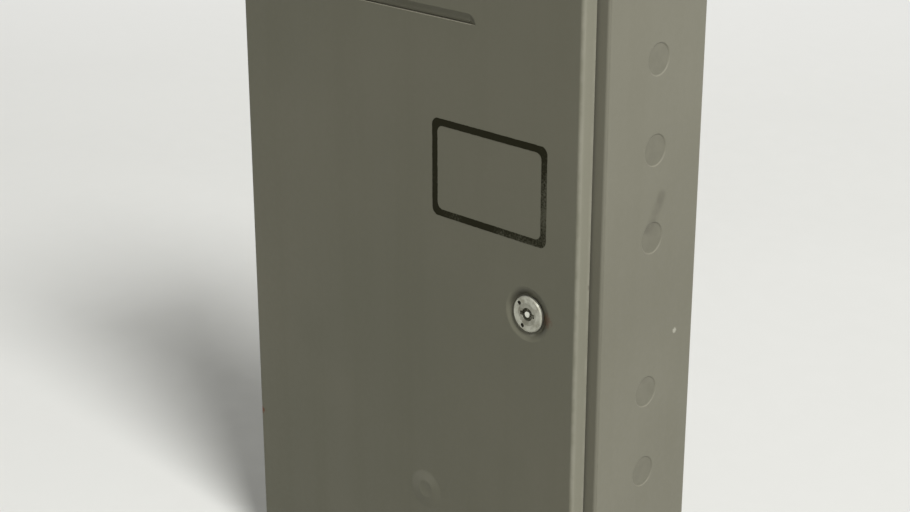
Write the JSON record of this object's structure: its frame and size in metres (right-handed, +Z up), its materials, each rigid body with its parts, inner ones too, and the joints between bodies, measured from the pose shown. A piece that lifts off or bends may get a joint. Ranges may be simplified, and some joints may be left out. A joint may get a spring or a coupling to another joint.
{
  "type": "utility cabinet",
  "caption": "Wall-mounted painted steel utility cabinet with a hinged pan door, louvre, cam lock in a dish, side knockouts and a breaker row inside",
  "frame": {"origin": "middle of the case's flat bottom face, on the surface it stands on", "axes": "X to the right and Y to the back as seen from the front, so the door faces -Y; Z up"},
  "size_m": [0.32, 0.105, 0.52],
  "materials": {
    "painted_steel": "satin powder coat, dusty",
    "zinc_steel": "zinc plated",
    "galvanised_steel": "galvanised",
    "lock_metal": "satin die-cast zinc",
    "gasket_foam": "matte",
    "nylon": "matte",
    "switch_plastic": "fine moulded texture",
    "terminal_plastic": "matte",
    "earth_plastic": "matte",
    "insulator_plastic": "glossy",
    "black_plastic": "matte",
    "red_plastic": "matte",
    "brass": "satin",
    "copper": "satin copper"
  },
  "bodies": {
    "cabinet": {"cabinet_body": "painted_steel", "hinge_lug_top": "painted_steel", "hinge_lug_bottom": "painted_steel", "hinge_pin_top": "zinc_steel", "hinge_pin_bottom": "zinc_steel", "mounting_plate": "galvanised_steel", "plate_studs": "zinc_steel", "plate_spacers": "zinc_steel", "plate_nuts": "zinc_steel", "upper_rail": "galvanised_steel", "lower_rail": "galvanised_steel", "rail_screws": "zinc_steel", "rail_end_stops": "terminal_plastic", "main_switch_case": "switch_plastic", "breaker_case_1": "switch_plastic", "breaker_case_2": "switch_plastic", "breaker_case_3": "switch_plastic", "breaker_case_4": "switch_plastic", "breaker_case_5": "switch_plastic", "switch_screws": "zinc_steel", "comb_busbar": "copper", "comb_cover": "terminal_plastic", "terminal_blocks": "terminal_plastic", "earth_terminals": "earth_plastic", "neutral_bar": "brass", "neutral_bar_insulators": "insulator_plastic", "neutral_bar_screws": "zinc_steel", "earth_bar": "brass", "earth_bar_blocks": "brass", "earth_bar_screws": "zinc_steel", "case_earth_stud": "zinc_steel", "case_earth_nut": "zinc_steel"},
    "door": {"door_panel": "painted_steel", "door_gasket": "gasket_foam", "hinge_bush_top": "nylon", "hinge_bush_bottom": "nylon", "lock_housing": "lock_metal", "lock_seal": "gasket_foam", "lock_nut": "zinc_steel", "door_earth_stud": "zinc_steel", "door_earth_nut": "zinc_steel"},
    "lock_rotor": {"lock_plug": "lock_metal", "lock_cam": "zinc_steel", "cam_screw": "zinc_steel"},
    "main_lever": {"main_switch_lever": "red_plastic"},
    "lever_1": {"breaker_lever_1": "black_plastic"},
    "lever_2": {"breaker_lever_2": "black_plastic"},
    "lever_3": {"breaker_lever_3": "black_plastic"},
    "lever_4": {"breaker_lever_4": "black_plastic"},
    "lever_5": {"breaker_lever_5": "black_plastic"}
  },
  "joints": [
    {"name": "door_swing", "type": "hinge", "parent": "cabinet", "child": "door", "pos_m": [-0.1468, -0.0545, 0.26], "axis": [0, 0, -1], "range_deg": [0, 170]},
    {"name": "lock_turn", "type": "hinge", "parent": "door", "child": "lock_rotor", "pos_m": [0.1115, -0.05, 0.263], "axis": [0, -1, 0], "range_deg": [0, 90]},
    {"name": "main_switch_toggle", "type": "hinge", "parent": "cabinet", "child": "main_lever", "pos_m": [-0.04375, -0.0285, 0.38], "axis": [1, 0, 0], "range_deg": [0, 76]},
    {"name": "breaker_toggle_1", "type": "hinge", "parent": "cabinet", "child": "lever_1", "pos_m": [-0.0175, -0.0285, 0.38], "axis": [1, 0, 0], "range_deg": [0, 76]},
    {"name": "breaker_toggle_2", "type": "hinge", "parent": "cabinet", "child": "lever_2", "pos_m": [0, -0.0285, 0.38], "axis": [1, 0, 0], "range_deg": [0, 76]},
    {"name": "breaker_toggle_3", "type": "hinge", "parent": "cabinet", "child": "lever_3", "pos_m": [0.0175, -0.0285, 0.38], "axis": [1, 0, 0], "range_deg": [0, 76]},
    {"name": "breaker_toggle_4", "type": "hinge", "parent": "cabinet", "child": "lever_4", "pos_m": [0.035, -0.0285, 0.38], "axis": [1, 0, 0], "range_deg": [0, 76]},
    {"name": "breaker_toggle_5", "type": "hinge", "parent": "cabinet", "child": "lever_5", "pos_m": [0.0525, -0.0285, 0.38], "axis": [1, 0, 0], "range_deg": [0, 76]}
  ]
}
